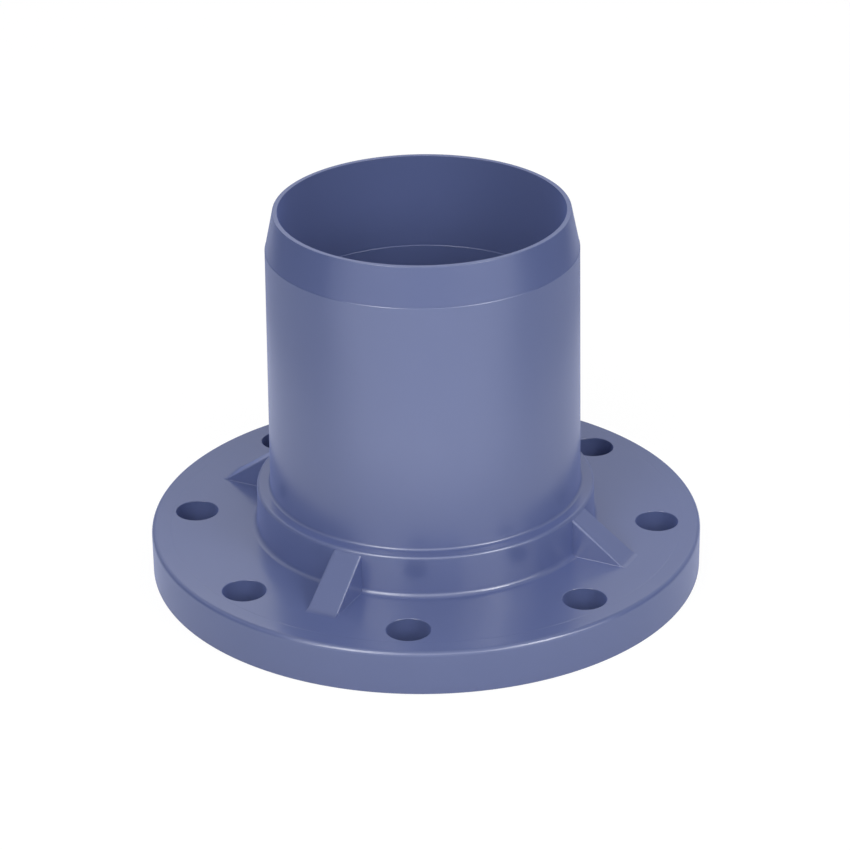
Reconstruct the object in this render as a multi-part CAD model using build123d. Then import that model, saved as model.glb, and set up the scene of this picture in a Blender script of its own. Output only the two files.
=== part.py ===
from build123d import *
import math
import os

# A pipe fitting moulded in one piece: a drilled flange disc, a raised hub with
# four gussets, and a plain spigot tube with a tapered end that enters a socket.
# Millimetres. The origin is the centre of the sealing face, and +Z runs up the spigot.

# Flange disc
FLANGE_DIAMETER = 285.0
FLANGE_THICKNESS = 23.5
FLANGE_TOP_CHAMFER = 1.2
SEALING_FACE_CHAMFER = 1.0

# Bolt holes
BOLT_CIRCLE = 240.0
BOLT_COUNT = 8
BOLT_HOLE_DIAMETER = 22.0

# Hub, the thick ring at the foot of the tube
HUB_DIAMETER = 174.4
HUB_HEIGHT = 22.3
HUB_DRAFT_DEGREES = 1.0
HUB_FOOT_FILLET = 1.8
HUB_EDGE_CHAMFER = 0.6

# Spigot tube and its tapered end
OVERALL_HEIGHT = 196.0
SPIGOT_DIAMETER = 160.0
SPIGOT_FOOT_FILLET = 3.5
TAPER_LENGTH = 20.0
TAPER_DEPTH = 5.0
TAPER_BLEND = 12.0
LIP_CHAMFER = 0.5

# Bore, a little wider above the small ledge where the two mould cores met
MOUTH_BORE_DIAMETER = 144.4
LOWER_BORE_DIAMETER = 142.4
MOUTH_BORE_DEPTH = 50.0
SEALING_BORE_CHAMFER = 1.0

# Gussets, each midway between two bolt holes
GUSSET_COUNT = 4
GUSSET_WIDTH = 16.4
GUSSET_REACH = 115.0
GUSSET_TOP_BELOW_HUB = 1.9
GUSSET_DRAFT_DEGREES = 1.0
GUSSET_FOOT_FILLET = 1.2
GUSSET_RIDGE_CHAMFER = 0.5

# How far a gusset is sunk into the disc and the hub, so that they fuse
GUSSET_SUNK = 1.5

# Radii and heights that follow from the sizes above
FLANGE_RADIUS = FLANGE_DIAMETER / 2
SPIGOT_RADIUS = SPIGOT_DIAMETER / 2
TIP_RADIUS = SPIGOT_RADIUS - TAPER_DEPTH
MOUTH_BORE_RADIUS = MOUTH_BORE_DIAMETER / 2
LOWER_BORE_RADIUS = LOWER_BORE_DIAMETER / 2
HUB_TOP_RADIUS = HUB_DIAMETER / 2
HUB_FOOT_RADIUS = HUB_TOP_RADIUS + HUB_HEIGHT * math.tan(math.radians(HUB_DRAFT_DEGREES))
HUB_TOP = FLANGE_THICKNESS + HUB_HEIGHT
TAPER_START = OVERALL_HEIGHT - TAPER_LENGTH
LEDGE_TOP = OVERALL_HEIGHT - MOUTH_BORE_DEPTH
LEDGE_WIDTH = MOUTH_BORE_RADIUS - LOWER_BORE_RADIUS


def rounded_face(corners):
    """A face from (point, rounding) pairs, given in order round its outline."""
    points = [point for point, rounding in corners]
    roundings = [rounding for point, rounding in corners]
    return make_face(FilletPolyline(*points, radius=roundings, close=True))


def disc_hub_and_tube():
    """The turned shape: one half section of (radius, height) corners, revolved about Z."""
    section = rounded_face(
        [
            ((LOWER_BORE_RADIUS, 0), 0),
            ((FLANGE_RADIUS, 0), 0),
            ((FLANGE_RADIUS, FLANGE_THICKNESS), 0),
            ((HUB_FOOT_RADIUS, FLANGE_THICKNESS), HUB_FOOT_FILLET),
            ((HUB_TOP_RADIUS, HUB_TOP), 0),
            ((SPIGOT_RADIUS, HUB_TOP), SPIGOT_FOOT_FILLET),
            ((SPIGOT_RADIUS, TAPER_START), TAPER_BLEND),
            ((TIP_RADIUS, OVERALL_HEIGHT), 0),
            ((MOUTH_BORE_RADIUS, OVERALL_HEIGHT), 0),
            ((MOUTH_BORE_RADIUS, LEDGE_TOP), 0),
            ((LOWER_BORE_RADIUS, LEDGE_TOP - LEDGE_WIDTH), 0),
        ]
    )
    return break_outer_edges(revolve(Plane.XZ * section, Axis.Z))


def break_outer_edges(turned):
    """Chamfer the round edges that a hand or a gasket meets."""
    for radius, height, size in (
        (LOWER_BORE_RADIUS, 0, SEALING_BORE_CHAMFER),
        (FLANGE_RADIUS, 0, SEALING_FACE_CHAMFER),
        (FLANGE_RADIUS, FLANGE_THICKNESS, FLANGE_TOP_CHAMFER),
        (HUB_TOP_RADIUS, HUB_TOP, HUB_EDGE_CHAMFER),
        (TIP_RADIUS, OVERALL_HEIGHT, LIP_CHAMFER),
        (MOUTH_BORE_RADIUS, OVERALL_HEIGHT, LIP_CHAMFER),
    ):
        turned = chamfer(round_edges(turned, radius, height), size)
    return turned


def round_edges(turned, radius, height):
    """The circular edges about Z of one radius, at one height."""
    circles = turned.edges().filter_by(GeomType.CIRCLE)
    return [
        edge
        for edge in circles
        if abs(edge.radius - radius) < 1e-6 and abs(edge.arc_center.Z - height) < 1e-6
    ]


def gusset():
    """One wedge on the +X axis, with a filleted foot and chamfered ridges."""
    top = HUB_TOP - GUSSET_TOP_BELOW_HUB
    slope = (top - FLANGE_THICKNESS) / (GUSSET_REACH - HUB_TOP_RADIUS)
    base = FLANGE_THICKNESS - GUSSET_SUNK
    crest = top + slope * GUSSET_SUNK
    inner = HUB_TOP_RADIUS - GUSSET_SUNK
    root = SPIGOT_RADIUS - GUSSET_SUNK

    # Seen along the radius: drafted sides that flare into the disc
    foot = GUSSET_WIDTH / 2
    head = foot - (crest - FLANGE_THICKNESS) * math.tan(math.radians(GUSSET_DRAFT_DEGREES))
    skirt = foot + 2 * GUSSET_FOOT_FILLET
    across = rounded_face(
        [
            ((-skirt, base), 0),
            ((skirt, base), 0),
            ((skirt, FLANGE_THICKNESS), 0),
            ((foot, FLANGE_THICKNESS), GUSSET_FOOT_FILLET),
            ((head, crest), 0),
            ((-head, crest), 0),
            ((-foot, FLANGE_THICKNESS), GUSSET_FOOT_FILLET),
            ((-skirt, FLANGE_THICKNESS), 0),
        ]
    )
    bar = extrude(Plane.YZ.offset(root) * across, GUSSET_REACH - root)

    # Seen from the side: the long slope from the hub down to the disc
    outline = make_face(
        Polyline(
            (root, base),
            (GUSSET_REACH, base),
            (GUSSET_REACH, FLANGE_THICKNESS),
            (inner, crest),
            (root, crest),
            close=True,
        )
    )
    wedge = bar & extrude(Plane.XZ * outline, skirt, both=True)
    ridges = wedge.edges().filter_by(lambda edge: is_ridge(edge, foot, slope))
    return chamfer(ridges, GUSSET_RIDGE_CHAMFER)


def is_ridge(edge, foot, slope):
    """Whether a gusset's edge is one of the two straight ones beside its slope."""
    run = edge.tangent_at(0.5)
    beside = abs(abs(edge.center().Y) - foot) < GUSSET_RIDGE_CHAMFER
    return beside and abs(abs(run.Z) - slope * abs(run.X)) < 1e-6


def bolt_holes():
    """The straight cutters, placed so that the X and Y axes pass midway between holes."""
    cutter = Cylinder(BOLT_HOLE_DIAMETER / 2, 3 * FLANGE_THICKNESS)
    places = PolarLocations(BOLT_CIRCLE / 2, BOLT_COUNT, start_angle=180 / BOLT_COUNT)
    return [place * cutter for place in places]


def spigot_flange():
    """The whole moulding."""
    fitting = disc_hub_and_tube()
    fitting += [Rot(Z=turn * 360 / GUSSET_COUNT) * gusset() for turn in range(GUSSET_COUNT)]
    return fitting - bolt_holes()


os.makedirs("parts", exist_ok=True)
export_step(spigot_flange(), "parts/spigot_flange.step")
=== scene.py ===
import math

import bmesh
import bpy
from mathutils import Matrix, Vector


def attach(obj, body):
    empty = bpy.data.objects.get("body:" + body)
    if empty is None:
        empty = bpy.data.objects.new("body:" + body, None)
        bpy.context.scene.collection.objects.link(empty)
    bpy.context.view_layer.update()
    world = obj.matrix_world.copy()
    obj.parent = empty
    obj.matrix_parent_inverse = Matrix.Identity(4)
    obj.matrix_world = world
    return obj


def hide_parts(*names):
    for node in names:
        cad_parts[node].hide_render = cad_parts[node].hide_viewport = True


# A moulded plastic spigot flange on a white studio floor. Metres, in the frame of
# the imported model: the sealing face lies on z = 0 and the tube stands on +Z.

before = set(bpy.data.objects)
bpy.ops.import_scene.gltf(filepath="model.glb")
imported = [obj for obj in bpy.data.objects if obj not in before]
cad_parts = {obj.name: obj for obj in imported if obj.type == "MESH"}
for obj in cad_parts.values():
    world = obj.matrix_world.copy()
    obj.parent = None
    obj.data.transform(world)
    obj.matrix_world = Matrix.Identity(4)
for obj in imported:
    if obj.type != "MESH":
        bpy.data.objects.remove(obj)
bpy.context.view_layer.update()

MM = 0.001

# The moulding, in millimetres
FLANGE_RADIUS = 142.5
FLANGE_THICKNESS = 23.5
BOLT_CIRCLE_RADIUS = 120.0
BOLT_COUNT = 8
BOLT_HOLE_RADIUS = 11.0
HUB_TOP_RADIUS = 87.2
HUB_TOP = 45.8
HUB_DRAFT = math.tan(math.radians(1.0))
HUB_FOOT_RADIUS = HUB_TOP_RADIUS + (HUB_TOP - FLANGE_THICKNESS) * HUB_DRAFT
TUBE_FOOT_RADIUS = 80.3
TUBE_RADIUS = 78.95
TIP_RADIUS = 74.6
TAPER_START = 176.0
TIP_HEIGHT = 196.0
TAPER_STEP = 0.22
TAPER_STEP_RISE = 1.4 * TAPER_STEP
MOUTH_BORE_RADIUS = 72.2
LEDGE_TOP = 146.0
LEDGE_WIDTH = 0.3
LEDGE_FALL = 0.2
LOWER_BORE_RADIUS = 71.2

# A faint step left by the mould's insert, near the disc's edge
OUTER_LAND_RADIUS = 132.4
OUTER_LAND_STEP = 0.07
OUTER_LAND_SLOPE = 0.5

# The roundings, in millimetres
SEALING_FACE_EDGE = 1.0
RIM_ROUNDING = 2.5
LAND_ROUNDING = 0.6
HUB_FOOT_FILLET = 3.0
HUB_EDGE_ROUNDING = 1.6
TUBE_FOOT_FILLET = 1.6
TAPER_ROUNDING = 0.6
LIP_OUTSIDE_ROUNDING = 0.35
LIP_INSIDE_ROUNDING = 0.2
LEDGE_ROUNDING = 0.25
HOLE_MOUTH_ROUNDING = 0.45

# The gussets, in millimetres
GUSSET_COUNT = 4
GUSSET_HALF_WIDTH = 8.2
GUSSET_REACH = 115.0
GUSSET_TOP = HUB_TOP - 1.9
GUSSET_DRAFT = math.tan(math.radians(1.0))
GUSSET_FOOT_FILLET = 0.6
GUSSET_RIDGE_ROUNDING = 1.8
GUSSET_TOE_BLEND = 8.0
GUSSET_SUNK = 1.5

# How finely round shapes are divided
TURNS = 256
CORNER_STEPS = 6
TOE_STEPS = 7
HOLE_TURNS = 64

# How near two points are when they are one, on a turned shape and after a cut, and
# how sharply two faces meet where the shading has a crisp corner
SAME_POINT = 0.001
NEAR_POINT = 0.004
CRISP_CORNER = math.radians(35.0)

# The pigment at its darkest and palest, and its tint in the skin's faint sheen
DARK_PIGMENT = (0.093, 0.120, 0.265, 1.0)
PALE_PIGMENT = (0.103, 0.131, 0.285, 1.0)
SKIN_TINT = (0.345, 0.4465, 1.0, 1.0)

# The photograph's camera
CAMERA_DISTANCE = 1.649015
CAMERA_LENS = 135.8897
CAMERA_SENSOR = 36.0
CAMERA_AZIMUTH = math.radians(26.896)
CAMERA_ELEVATION = math.radians(25.969)
CAMERA_ROLL = math.radians(-0.7455)
CAMERA_AIM_RIGHT = 0.000159
CAMERA_AIM_HEIGHT = 0.0760157

# The lamps all stand this far from a point near the middle of the tube
LAMP_DISTANCE = 1.6
LAMP_AIM_HEIGHT = 0.1

# The slightly cool pale cards, and how far round two of them stand
CARD_COLOUR = (0.85, 0.88, 1.0, 1.0)
LOW_CARD_TURN = math.radians(12.0)
FRONT_WINDOW_TURN = (math.radians(-34.0), math.radians(26.0))
FRONT_WINDOW_SOFTNESS = math.radians(10.0)

# How bright the gloss sees each part of the studio
LOW_CARD = 0.57
FRONT_WALL = 0.45
FRONT_WINDOW = 1.25
FRONT_CANOPY = 0.30
BACK_WALL_FOOT = 0.24
BACK_WALL = 0.60
LEFT_CARD = 0.63
RIGHT_CARD = 0.52
LOW_RIGHT_CARD = 0.14
CEILING = 0.62

# How much soft light comes from each side
FRONT_LIGHT = 1.77
TOP_LIGHT = 1.10
BACK_LIGHT = 0.95
LOW_LIGHT_BEHIND = 0.18
LOW_LIGHT_AHEAD = 0.10

# The floor: its paint, how bright it looks, and the painted glow that the gloss sees of it
# from the disc outwards, with a painted shade just outside the disc
FLOOR_SIZE = 6.0
FLOOR_PAINT = (0.8, 0.8, 0.8, 1.0)
FLOOR_GLOW = 1.08
FLOOR_GLOW_SHARE = 0.85
# A painted shade in the floor's glow, just outside the disc
FLOOR_PAINTED_SHADE_AT_DISC = -0.12
FLOOR_NEAR = 0.28
FLOOR_AROUND = 0.455
FLOOR_IN_FRONT = 0.57


def add_camera():
    """Stand the camera where the photograph was taken from."""
    azimuth, elevation, roll = CAMERA_AZIMUTH, CAMERA_ELEVATION, CAMERA_ROLL
    right = Vector((math.cos(azimuth), math.sin(azimuth), 0.0))
    towards = Vector(
        (
            math.sin(azimuth) * math.cos(elevation),
            -math.cos(azimuth) * math.cos(elevation),
            math.sin(elevation),
        )
    )
    up = towards.cross(right)
    across = math.cos(roll) * right + math.sin(roll) * up
    upright = math.cos(roll) * up - math.sin(roll) * right
    aim = CAMERA_AIM_RIGHT * right + Vector((0.0, 0.0, CAMERA_AIM_HEIGHT))

    data = bpy.data.cameras.new("photo_camera")
    data.lens = CAMERA_LENS
    data.sensor_width = CAMERA_SENSOR
    data.clip_start = 0.05
    data.clip_end = 50.0
    camera = bpy.data.objects.new("photo_camera", data)
    turn = Matrix((across, upright, towards)).transposed().to_4x4()
    camera.matrix_world = Matrix.Translation(aim + CAMERA_DISTANCE * towards) @ turn
    bpy.context.scene.collection.objects.link(camera)
    bpy.context.scene.camera = camera


def outline(bm, corners):
    """A face in the XZ plane from (x, z, rounding) corners, with the roundings made."""
    verts = [bm.verts.new((x * MM, 0.0, z * MM)) for x, z, rounding in corners]
    bm.faces.new(verts)
    count = len(corners)
    for index, (x, z, rounding) in enumerate(corners):
        if not rounding:
            continue
        here = Vector((x, z))
        before = (Vector(corners[index - 1][:2]) - here).normalized()
        after = (Vector(corners[(index + 1) % count][:2]) - here).normalized()
        reach = rounding / math.tan(before.angle(after) / 2)
        bmesh.ops.bevel(
            bm,
            geom=[verts[index]],
            offset=reach * MM,
            offset_type="OFFSET",
            segments=CORNER_STEPS,
            profile=0.5,
            affect="VERTICES",
            material=-1,
        )


def turned(bm, turns):
    """Spin the outline in bm about Z into a closed shape."""
    bmesh.ops.delete(bm, geom=bm.faces[:], context="FACES_ONLY")
    bmesh.ops.spin(
        bm,
        geom=bm.verts[:] + bm.edges[:],
        cent=(0.0, 0.0, 0.0),
        axis=(0.0, 0.0, 1.0),
        angle=2 * math.pi,
        steps=turns,
        use_merge=True,
    )
    bmesh.ops.remove_doubles(bm, verts=bm.verts[:], dist=SAME_POINT * MM)
    bmesh.ops.recalc_face_normals(bm, faces=bm.faces[:])


def repeated_round(bm, count):
    """Repeat the whole shape in bm about Z, evenly, until there are count of it."""
    first = bm.verts[:] + bm.edges[:] + bm.faces[:]
    for turn in range(1, count):
        copied = bmesh.ops.duplicate(bm, geom=first)["geom"]
        bmesh.ops.rotate(
            bm,
            verts=[part for part in copied if isinstance(part, bmesh.types.BMVert)],
            cent=(0.0, 0.0, 0.0),
            matrix=Matrix.Rotation(turn * 2 * math.pi / count, 3, "Z"),
        )
    bmesh.ops.recalc_face_normals(bm, faces=bm.faces[:])


def add_mesh(name, bm):
    """An object at the origin that holds the shape in bm."""
    mesh = bpy.data.meshes.new(name)
    bm.to_mesh(mesh)
    bm.free()
    piece = bpy.data.objects.new(name, mesh)
    bpy.context.scene.collection.objects.link(piece)
    return piece


def disc_hub_and_tube():
    """The turned body, with every edge that a hand meets rounded over."""
    rim = FLANGE_THICKNESS - OUTER_LAND_STEP
    bm = bmesh.new()
    outline(
        bm,
        [
            (LOWER_BORE_RADIUS, 0.0, SEALING_FACE_EDGE),
            (FLANGE_RADIUS, 0.0, SEALING_FACE_EDGE),
            (FLANGE_RADIUS, rim, RIM_ROUNDING),
            (OUTER_LAND_RADIUS + OUTER_LAND_SLOPE, rim, LAND_ROUNDING),
            (OUTER_LAND_RADIUS, FLANGE_THICKNESS, LAND_ROUNDING),
            (HUB_FOOT_RADIUS, FLANGE_THICKNESS, HUB_FOOT_FILLET),
            (HUB_TOP_RADIUS, HUB_TOP, HUB_EDGE_ROUNDING),
            (TUBE_FOOT_RADIUS, HUB_TOP, TUBE_FOOT_FILLET),
            (TUBE_RADIUS, TAPER_START, TAPER_ROUNDING),
            (TUBE_RADIUS - TAPER_STEP, TAPER_START + TAPER_STEP_RISE, 0.0),
            (TIP_RADIUS, TIP_HEIGHT, LIP_OUTSIDE_ROUNDING),
            (MOUTH_BORE_RADIUS, TIP_HEIGHT, LIP_INSIDE_ROUNDING),
            (MOUTH_BORE_RADIUS, LEDGE_TOP, 0.0),
            (MOUTH_BORE_RADIUS - LEDGE_WIDTH, LEDGE_TOP - LEDGE_FALL, LEDGE_ROUNDING),
        ],
    )
    turned(bm, TURNS)
    return add_mesh("spigot_flange_moulding", bm)


def gusset_section(bm, reach, crest):
    """One cross-section of a gusset: its distance from the axis and its crest's height."""
    base = FLANGE_THICKNESS - GUSSET_SUNK
    # A hair under the disc's top, so that the fillets run out into it cleanly
    floor = FLANGE_THICKNESS - 0.02
    height = crest - floor
    head = GUSSET_HALF_WIDTH - height * GUSSET_DRAFT
    skirt = GUSSET_HALF_WIDTH + 2 * GUSSET_FOOT_FILLET
    # Both roundings shrink where the gusset runs out at its toe
    fillet = min(GUSSET_FOOT_FILLET, 0.35 * height)
    ridge = min(GUSSET_RIDGE_ROUNDING, 0.55 * height)
    known = set(bm.verts)
    outline(
        bm,
        [
            (-skirt, base, 0.0),
            (skirt, base, 0.0),
            (skirt, floor, 0.0),
            (GUSSET_HALF_WIDTH, floor, fillet),
            (head, crest, ridge),
            (-head, crest, ridge),
            (-GUSSET_HALF_WIDTH, floor, fillet),
            (-skirt, floor, 0.0),
        ],
    )
    section = [vert for vert in bm.verts if vert not in known]
    bmesh.ops.rotate(bm, verts=section, matrix=Matrix.Rotation(math.pi / 2, 3, "Z"))
    bmesh.ops.translate(bm, verts=section, vec=(reach * MM, 0.0, 0.0))
    return section


def crest_line():
    """Where a gusset's crest runs: level inside the hub, down its slope and out at the toe."""
    fall = math.atan2(GUSSET_TOP - FLANGE_THICKNESS, GUSSET_REACH - HUB_TOP_RADIUS)
    crest = GUSSET_TOP + GUSSET_SUNK * math.tan(fall)
    line = [(TUBE_RADIUS - GUSSET_SUNK, crest), (HUB_TOP_RADIUS - GUSSET_SUNK, crest)]
    toe = GUSSET_REACH + GUSSET_TOE_BLEND * math.tan(fall / 2)
    for step in range(TOE_STEPS):
        turn = fall * (1 - step / TOE_STEPS)
        rise = GUSSET_TOE_BLEND * (1 - math.cos(turn))
        line.append((toe - GUSSET_TOE_BLEND * math.sin(turn), FLANGE_THICKNESS + rise))
    return line


def gussets():
    """Four drafted wedges that brace the hub, with rounded ridges and blended toes."""
    bm = bmesh.new()
    sections = [gusset_section(bm, reach, crest) for reach, crest in crest_line()]
    hidden = {vert for section in sections[1:-1] for vert in section}
    rings = []
    for section in sections:
        members = set(section)
        rings.append([edge for edge in bm.edges if set(edge.verts) <= members])
    inner = [face for face in bm.faces if hidden.issuperset(face.verts)]
    bmesh.ops.delete(bm, geom=inner, context="FACES_ONLY")
    for near, far in zip(rings, rings[1:]):
        bmesh.ops.bridge_loops(bm, edges=near + far)
    bmesh.ops.recalc_face_normals(bm, faces=bm.faces[:])
    repeated_round(bm, GUSSET_COUNT)
    return add_mesh("gusset_wedges", bm)


def bolt_cutters():
    """Eight cutters through the disc that leave each hole's two mouths slightly rounded."""
    mouth = HOLE_MOUTH_ROUNDING
    wide = BOLT_HOLE_RADIUS + mouth
    # A hair outside the disc's two faces, so that no corner of a cutter lies in them
    low, high = -0.01, FLANGE_THICKNESS + 0.01
    # How far a cutter stands out past the disc
    past = 4.0
    bm = bmesh.new()
    outline(
        bm,
        [
            (0.0, low - past, 0.0),
            (wide, low - past, 0.0),
            (wide, low, 0.0),
            (BOLT_HOLE_RADIUS, low, mouth),
            (BOLT_HOLE_RADIUS, high, mouth),
            (wide, high, 0.0),
            (wide, high + past, 0.0),
            (0.0, high + past, 0.0),
        ],
    )
    turned(bm, HOLE_TURNS)
    bmesh.ops.translate(bm, verts=bm.verts[:], vec=(BOLT_CIRCLE_RADIUS * MM, 0.0, 0.0))
    # No hole lies on an axis
    half_step = Matrix.Rotation(math.pi / BOLT_COUNT, 3, "Z")
    bmesh.ops.rotate(bm, verts=bm.verts[:], matrix=half_step)
    repeated_round(bm, BOLT_COUNT)
    return add_mesh("bolt_cutters", bm)


def combine(piece, other, operation):
    """Fuse another shape to the piece, or cut it away, and drop the other shape."""
    step = piece.modifiers.new(operation.lower(), "BOOLEAN")
    step.operation = operation
    step.solver = "EXACT"
    step.object = other
    settle(piece)
    bpy.data.objects.remove(other)


def settle(piece):
    """Apply the piece's modifiers to its mesh."""
    bpy.context.view_layer.update()
    shown = piece.evaluated_get(bpy.context.evaluated_depsgraph_get())
    mesh = bpy.data.meshes.new_from_object(shown)
    mesh.name = piece.name
    piece.modifiers.clear()
    piece.data = mesh


def join_near_points(piece):
    """Merge the few points that the fusing and cutting leave almost on top of each other."""
    bm = bmesh.new()
    bm.from_mesh(piece.data)
    bmesh.ops.remove_doubles(bm, verts=bm.verts[:], dist=NEAR_POINT * MM)
    bmesh.ops.dissolve_degenerate(bm, edges=bm.edges[:], dist=SAME_POINT * MM)
    bm.to_mesh(piece.data)
    bm.free()


def smooth(piece):
    """Shade the roundings smooth and keep the flats flat and the inner corners crisp."""
    mesh = piece.data
    mesh.shade_smooth()
    mesh.set_sharp_from_angle(angle=CRISP_CORNER)
    even = piece.modifiers.new("even_normals", "WEIGHTED_NORMAL")
    even.mode = "FACE_AREA"
    even.keep_sharp = True
    even.weight = 50
    settle(piece)


def spigot_flange():
    """The whole moulding as one closed piece."""
    piece = disc_hub_and_tube()
    combine(piece, gussets(), "UNION")
    combine(piece, bolt_cutters(), "DIFFERENCE")
    join_near_points(piece)
    smooth(piece)
    return piece


def link_nodes(tree):
    """Short ways to add a node to a tree and to join two sockets."""

    def add(kind, **settings):
        node = tree.nodes.new(kind)
        for name, value in settings.items():
            setattr(node, name, value)
        return node

    return add, tree.links.new


def set_inputs(node, settings):
    """Set a node's own sockets, by name."""
    for name, value in settings.items():
        node.inputs[name].default_value = value


def moulded_plastic():
    """Slate blue moulded plastic: satin gloss, faint flow marks and a fine skin."""
    material = bpy.data.materials.new("moulded_plastic")
    material.use_nodes = True
    add, join = link_nodes(material.node_tree)
    shader = material.node_tree.nodes["Principled BSDF"]
    set_inputs(shader, {"IOR": 1.6, "Specular IOR Level": 1.0})

    # The fine skin scatters a little of the pigment's colour where it is seen aslant
    set_inputs(shader, {"Sheen Weight": 0.3, "Sheen Roughness": 0.5, "Sheen Tint": SKIN_TINT})
    place = add("ShaderNodeTexCoord")

    # Pigment that flowed a little unevenly into the mould, drawn out along the tube
    flow = add("ShaderNodeMapping")
    flow.inputs["Scale"].default_value = (1.0, 1.0, 0.45)
    join(place.outputs["Object"], flow.inputs["Vector"])
    pigment = add("ShaderNodeTexNoise")
    set_inputs(pigment, {"Scale": 16.0, "Detail": 3.0, "Roughness": 0.5})
    join(flow.outputs["Vector"], pigment.inputs["Vector"])
    colour = add("ShaderNodeMixRGB")
    set_inputs(colour, {"Color1": DARK_PIGMENT, "Color2": PALE_PIGMENT})
    join(pigment.outputs["Fac"], colour.inputs["Fac"])
    join(colour.outputs["Color"], shader.inputs["Base Color"])

    # Satin patches where the skin froze early
    patches = add("ShaderNodeTexNoise")
    set_inputs(patches, {"Scale": 42.0, "Detail": 4.0})
    join(place.outputs["Object"], patches.inputs["Vector"])
    satin = add("ShaderNodeMapRange")
    set_inputs(satin, {"From Min": 0.3, "From Max": 0.7, "To Min": 0.20, "To Max": 0.25})
    join(patches.outputs["Fac"], satin.inputs["Value"])
    join(satin.outputs["Result"], shader.inputs["Roughness"])

    # A fine skin, over the slight waviness of thick walls that shrank as they cooled
    waves = add("ShaderNodeTexNoise")
    set_inputs(waves, {"Scale": 26.0, "Detail": 1.0})
    join(flow.outputs["Vector"], waves.inputs["Vector"])
    shrinkage = add("ShaderNodeBump")
    set_inputs(shrinkage, {"Strength": 0.25, "Distance": 0.0006})
    join(waves.outputs["Fac"], shrinkage.inputs["Height"])
    grain = add("ShaderNodeTexNoise")
    set_inputs(grain, {"Scale": 1400.0, "Detail": 2.0})
    join(place.outputs["Object"], grain.inputs["Vector"])
    skin = add("ShaderNodeBump")
    set_inputs(skin, {"Strength": 0.12, "Distance": 0.00005})
    join(grain.outputs["Fac"], skin.inputs["Height"])
    join(shrinkage.outputs["Normal"], skin.inputs["Normal"])
    join(skin.outputs["Normal"], shader.inputs["Normal"])
    return material


def studio_directions(add, join, place):
    """How far a point or direction lies to the front, right and top of the studio."""
    facing = add("ShaderNodeVectorRotate", rotation_type="Z_AXIS")
    facing.inputs["Angle"].default_value = -CAMERA_AZIMUTH
    join(place, facing.inputs["Vector"])
    parts = add("ShaderNodeSeparateXYZ")
    join(facing.outputs["Vector"], parts.inputs["Vector"])
    front = add_scaled(add, join, parts.outputs["Y"], -1.0)
    return front, parts.outputs["X"], parts.outputs["Z"]


def add_ramp(add, join, value, start, end, low, high):
    """A soft step from low to high as the value goes from start to end."""
    ramp = add("ShaderNodeMapRange", interpolation_type="SMOOTHSTEP")
    set_inputs(ramp, {"From Min": start, "From Max": end, "To Min": low, "To Max": high})
    join(value, ramp.inputs["Value"])
    return ramp.outputs["Result"]


def add_band(add, join, value, rise, fall):
    """A soft band: from 0 up to 1 over the rise, and back to 0 over the fall."""
    start = add_ramp(add, join, value, rise[0], rise[1], 0.0, 1.0)
    end = add_ramp(add, join, value, fall[0], fall[1], 1.0, 0.0)
    return add_math(add, join, "MULTIPLY", start, end)


def add_math(add, join, operation, *values):
    """The values joined one after another by a math operation."""
    total = values[0]
    for value in values[1:]:
        step = add("ShaderNodeMath", operation=operation)
        join(total, step.inputs[0])
        join(value, step.inputs[1])
        total = step.outputs[0]
    return total


def add_scaled(add, join, value, factor):
    """The value times a plain number."""
    step = add("ShaderNodeMath", operation="MULTIPLY")
    step.inputs[1].default_value = factor
    join(value, step.inputs[0])
    return step.outputs[0]


def add_front_window(add, join, front, right, up):
    """Where the broad soft source ahead of the object stands, with soft edges."""
    turn = add_math(add, join, "ARCTAN2", right, front)
    start, end = FRONT_WINDOW_TURN
    soft = FRONT_WINDOW_SOFTNESS
    sweep = add_band(add, join, turn, (start - soft, start + soft), (end - soft, end + soft))
    tall = add_band(add, join, up, (0.20, 0.35), (0.80, 0.90))
    return add_math(add, join, "MULTIPLY", sweep, tall)


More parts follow.
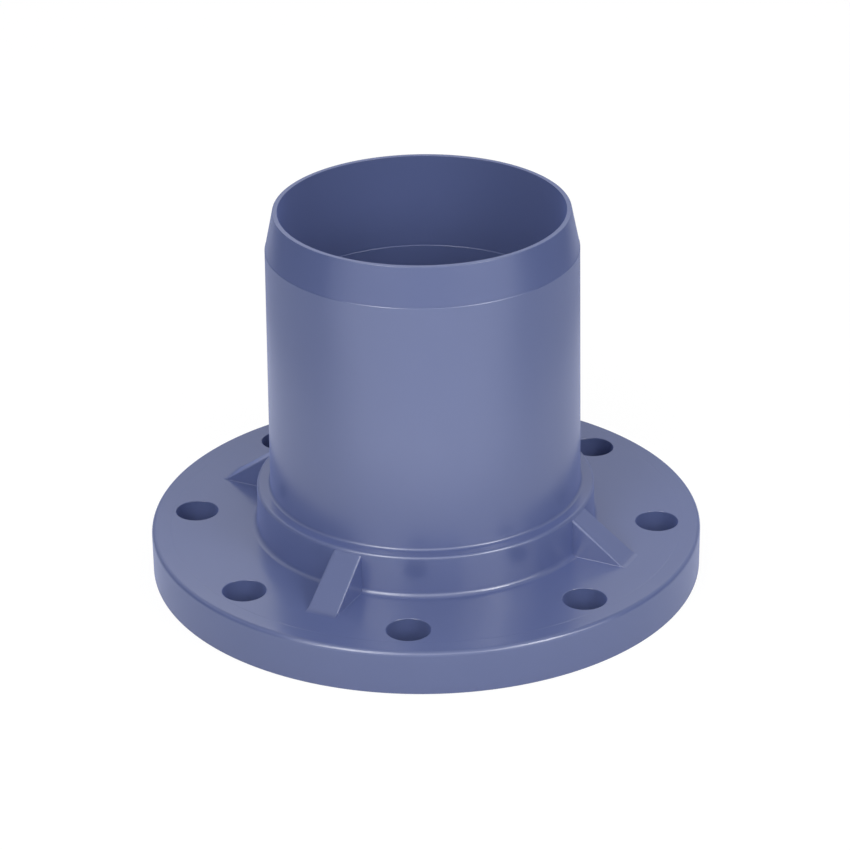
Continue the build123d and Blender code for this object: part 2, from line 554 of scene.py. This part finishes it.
def add_cards(add, join, front, right, up, window):
    """What the gloss mirrors: pale cards all round a dim studio, by height and side."""
    # The sides of the studio
    ahead = add_ramp(add, join, front, 0.1, 0.9, 0.0, FRONT_WALL)
    behind = add_ramp(add, join, front, -0.1, -0.9, 0.0, 1.0)
    to_left = add_ramp(add, join, right, -0.3, -0.9, 0.0, LEFT_CARD)
    to_right = add_ramp(add, join, right, 0.3, 0.9, 0.0, 1.0)

    # A long low card across the front, with crisp ends
    low = add_ramp(add, join, up, 0.28, 0.12, 0.0, 1.0)
    ahead_of_card = add_scaled(add, join, front, math.cos(LOW_CARD_TURN))
    beside_card = add_scaled(add, join, right, math.sin(LOW_CARD_TURN))
    facing = add_math(add, join, "ADD", ahead_of_card, beside_card)
    width = add_ramp(add, join, facing, 0.32, 0.42, 0.0, LOW_CARD)
    low_card = add_math(add, join, "MULTIPLY", low, width)

    # The front wall, the bright window in it and a pale patch above it
    wall = add_band(add, join, up, (0.12, 0.28), (0.60, 0.75))
    front_wall = add_math(add, join, "MULTIPLY", wall, ahead)
    front_glow = add_scaled(add, join, window, FRONT_WINDOW)
    canopy = add_band(add, join, up, (0.60, 0.75), (0.85, 0.95))
    overhang = add_ramp(add, join, front, 0.05, 0.40, 0.0, FRONT_CANOPY)
    front_canopy = add_math(add, join, "MULTIPLY", canopy, overhang)

    # The back wall, darker at its foot
    foot = add_ramp(add, join, up, 0.12, 0.28, BACK_WALL_FOOT, BACK_WALL)
    waist = add_ramp(add, join, up, 0.42, 0.56, 1.0, 0.75)
    head = add_ramp(add, join, up, 0.74, 0.88, 1.0, 0.0)
    back_wall = add_math(add, join, "MULTIPLY", foot, waist, head, behind)

    # High cards at both sides, a faint low one at the right, and the ceiling
    above = add_band(add, join, up, (0.42, 0.56), (0.74, 0.88))
    left_card = add_math(add, join, "MULTIPLY", above, to_left)
    high_right = add_scaled(add, join, to_right, RIGHT_CARD)
    right_card = add_math(add, join, "MULTIPLY", above, high_right)
    faint_right = add_scaled(add, join, to_right, LOW_RIGHT_CARD)
    low_right = add_math(add, join, "MULTIPLY", low, faint_right)
    ceiling = add_ramp(add, join, up, 0.78, 0.90, 0.0, CEILING)
    cards = [low_card, front_wall, front_glow, front_canopy, back_wall]
    cards += [left_card, right_card, low_right, ceiling]
    return add_math(add, join, "ADD", *cards)


def add_soft_light(add, join, front, up, window):
    """The even light on the object: from the front, above, behind and the low walls."""
    # The broad soft source ahead reaches into the bore
    front_light = add_scaled(add, join, window, FRONT_LIGHT)

    # A pale ceiling that slopes down behind
    high = add_ramp(add, join, up, 0.55, 0.70, 0.0, 1.0)
    rear = add_ramp(add, join, front, 0.10, -0.40, 0.0, TOP_LIGHT)
    top_light = add_math(add, join, "MULTIPLY", high, rear)

    # A lower light behind, so that the far side isn't lost
    lower = add_band(add, join, up, (0.00, 0.12), (0.35, 0.50))
    away = add_ramp(add, join, front, -0.30, -0.85, 0.0, BACK_LIGHT)
    back_light = add_math(add, join, "MULTIPLY", lower, away)

    # A little light off the studio's lower walls
    low = add_ramp(add, join, up, 0.45, 0.20, 0.0, 1.0)
    walls = add_ramp(add, join, front, -0.5, 0.5, LOW_LIGHT_BEHIND, LOW_LIGHT_AHEAD)
    low_light = add_math(add, join, "MULTIPLY", low, walls)
    return add_math(add, join, "ADD", front_light, top_light, back_light, low_light)


def add_world():
    """A white studio for the eye, with the cards that the gloss shows and soft light."""
    world = bpy.data.worlds.new("studio")
    bpy.context.scene.world = world
    world.use_nodes = True
    add, join = link_nodes(world.node_tree)
    ground = world.node_tree.nodes["Background"]
    place = add("ShaderNodeTexCoord")
    front, right, up = studio_directions(add, join, place.outputs["Generated"])
    window = add_front_window(add, join, front, right, up)
    seen = add_cards(add, join, front, right, up, window)
    soft = add_soft_light(add, join, front, up, window)

    # The eye sees plain white, reflections see the cards, and the rest is soft light
    path = add("ShaderNodeLightPath")
    by_eye, through_glass = path.outputs["Is Camera Ray"], path.outputs["Is Transmission Ray"]
    plain = add_math(add, join, "MAXIMUM", by_eye, through_glass)
    glossy = add("ShaderNodeMix", data_type="FLOAT")
    join(path.outputs["Is Glossy Ray"], glossy.inputs["Factor"])
    join(soft, glossy.inputs["A"])
    join(seen, glossy.inputs["B"])
    level = add("ShaderNodeMix", data_type="FLOAT")
    level.inputs["B"].default_value = 1.0
    join(plain, level.inputs["Factor"])
    join(glossy.outputs["Result"], level.inputs["A"])
    join(level.outputs["Result"], ground.inputs["Strength"])
    tone = add("ShaderNodeMixRGB")
    set_inputs(tone, {"Color1": (1.0, 1.0, 1.0, 1.0), "Color2": CARD_COLOUR})
    join(path.outputs["Is Glossy Ray"], tone.inputs["Fac"])
    join(tone.outputs["Color"], ground.inputs["Color"])


def white_floor():
    """White matt paint that keeps the shadow; reflections see a painted, uneven glow instead.
    """
    material = bpy.data.materials.new("white_floor")
    material.use_nodes = True
    material.node_tree.nodes.clear()
    add, join = link_nodes(material.node_tree)
    matt = add("ShaderNodeBsdfDiffuse")
    matt.inputs["Color"].default_value = FLOOR_PAINT

    # In reflections the floor shows a painted glow, pale near the disc and in front and
    # falling off to dark, with a painted shade just outside the disc
    place = add("ShaderNodeTexCoord")
    front, right, up = studio_directions(add, join, place.outputs["Object"])
    length = add("ShaderNodeVectorMath", operation="LENGTH")
    join(place.outputs["Object"], length.inputs[0])
    distance = length.outputs["Value"]
    # A painted shade that dims the glow just outside the disc
    painted_shade_at_disc = add_ramp(add, join, distance, 0.16, 0.22, FLOOR_PAINTED_SHADE_AT_DISC, 0.0)
    near = add_ramp(add, join, distance, 0.28, 0.38, FLOOR_NEAR, 0.0)
    around = add_ramp(add, join, distance, 0.68, 0.80, FLOOR_AROUND, 0.0)
    clear = add_ramp(add, join, distance, 0.20, 0.30, 0.0, 1.0)
    aside = add("ShaderNodeMath", operation="ABSOLUTE")
    join(right, aside.inputs[0])
    narrowing = add_scaled(add, join, aside.outputs[0], -0.35)
    wedge = add_math(add, join, "ADD", front, narrowing)
    ahead = add_ramp(add, join, wedge, -0.05, 0.25, 0.0, FLOOR_IN_FRONT)
    in_front = add_math(add, join, "MULTIPLY", clear, ahead)
    pale = add_math(add, join, "ADD", painted_shade_at_disc, near, around, in_front)
    # The painted glow that reflections see in place of the lit floor
    painted_glow = add("ShaderNodeEmission")
    painted_glow.inputs["Color"].default_value = CARD_COLOUR
    join(pale, painted_glow.inputs["Strength"])
    glow = add("ShaderNodeEmission")
    glow.inputs["Strength"].default_value = FLOOR_GLOW

    # Under the disc and inside the bore, the floor is only as light as what reaches it
    path = add("ShaderNodeLightPath")
    open_floor = add("ShaderNodeMath", operation="GREATER_THAN")
    open_floor.inputs[1].default_value = FLANGE_RADIUS * MM
    join(distance, open_floor.inputs[0])
    by_gloss = path.outputs["Is Glossy Ray"]
    mirrored = add_math(add, join, "MULTIPLY", by_gloss, open_floor.outputs[0])
    share = add_scaled(add, join, path.outputs["Is Camera Ray"], FLOOR_GLOW_SHARE)
    viewed = add("ShaderNodeMixShader")
    join(share, viewed.inputs["Fac"])
    join(matt.outputs[0], viewed.inputs[1])
    join(glow.outputs[0], viewed.inputs[2])
    surface = add("ShaderNodeMixShader")
    join(mirrored, surface.inputs["Fac"])
    join(viewed.outputs[0], surface.inputs[1])
    join(painted_glow.outputs[0], surface.inputs[2])
    out = add("ShaderNodeOutputMaterial")
    join(surface.outputs[0], out.inputs["Surface"])
    return material


def add_floor():
    """A flat studio floor at the height of the sealing face."""
    bm = bmesh.new()
    bmesh.ops.create_grid(bm, x_segments=1, y_segments=1, size=FLOOR_SIZE)
    floor = add_mesh("studio_floor", bm)
    floor.data.materials.append(white_floor())


def add_softbox(name, azimuth, elevation, width, height, power):
    """A rectangular lamp, placed by its angle right of the camera and above the floor."""
    data = bpy.data.lights.new(name, "AREA")
    data.shape = "RECTANGLE"
    data.size = width
    data.size_y = height
    data.energy = power
    lamp = bpy.data.objects.new(name, data)
    turn = CAMERA_AZIMUTH + math.radians(azimuth)
    rise = math.radians(elevation)
    towards = Vector(
        (math.sin(turn) * math.cos(rise), -math.cos(turn) * math.cos(rise), math.sin(rise))
    )
    lamp.location = Vector((0.0, 0.0, LAMP_AIM_HEIGHT)) + LAMP_DISTANCE * towards
    lamp.rotation_euler = (-towards).to_track_quat("-Z", "Y").to_euler()
    bpy.context.scene.collection.objects.link(lamp)


add_camera()
add_world()
add_floor()

# Each lamp's turn and height in degrees, its width and height in metres, and its watts
add_softbox("left_softbox", -33.0, 23.0, 1.04, 0.50, 3.55)
add_softbox("left_upper_softbox", -34.0, 37.0, 0.45, 0.38, 2.8)
add_softbox("right_softbox", 37.0, 23.0, 0.72, 0.55, 3.65)
add_softbox("far_right_softbox", 62.0, 23.0, 0.72, 0.50, 1.95)
add_softbox("right_upper_softbox", 50.0, 37.0, 0.45, 0.38, 4.0)
add_softbox("high_left_softbox", -40.0, 52.0, 0.90, 0.35, 2.3)
add_softbox("back_softbox", 180.0, 38.0, 1.80, 0.50, 1.35)
add_softbox("back_left_softbox", -170.0, 31.0, 0.35, 0.16, 0.08)

moulding = spigot_flange()
moulding.data.materials.clear()
moulding.data.materials.append(moulded_plastic())
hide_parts("spigot_flange")
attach(moulding, "root")

bpy.context.scene.view_settings.view_transform = "Standard"
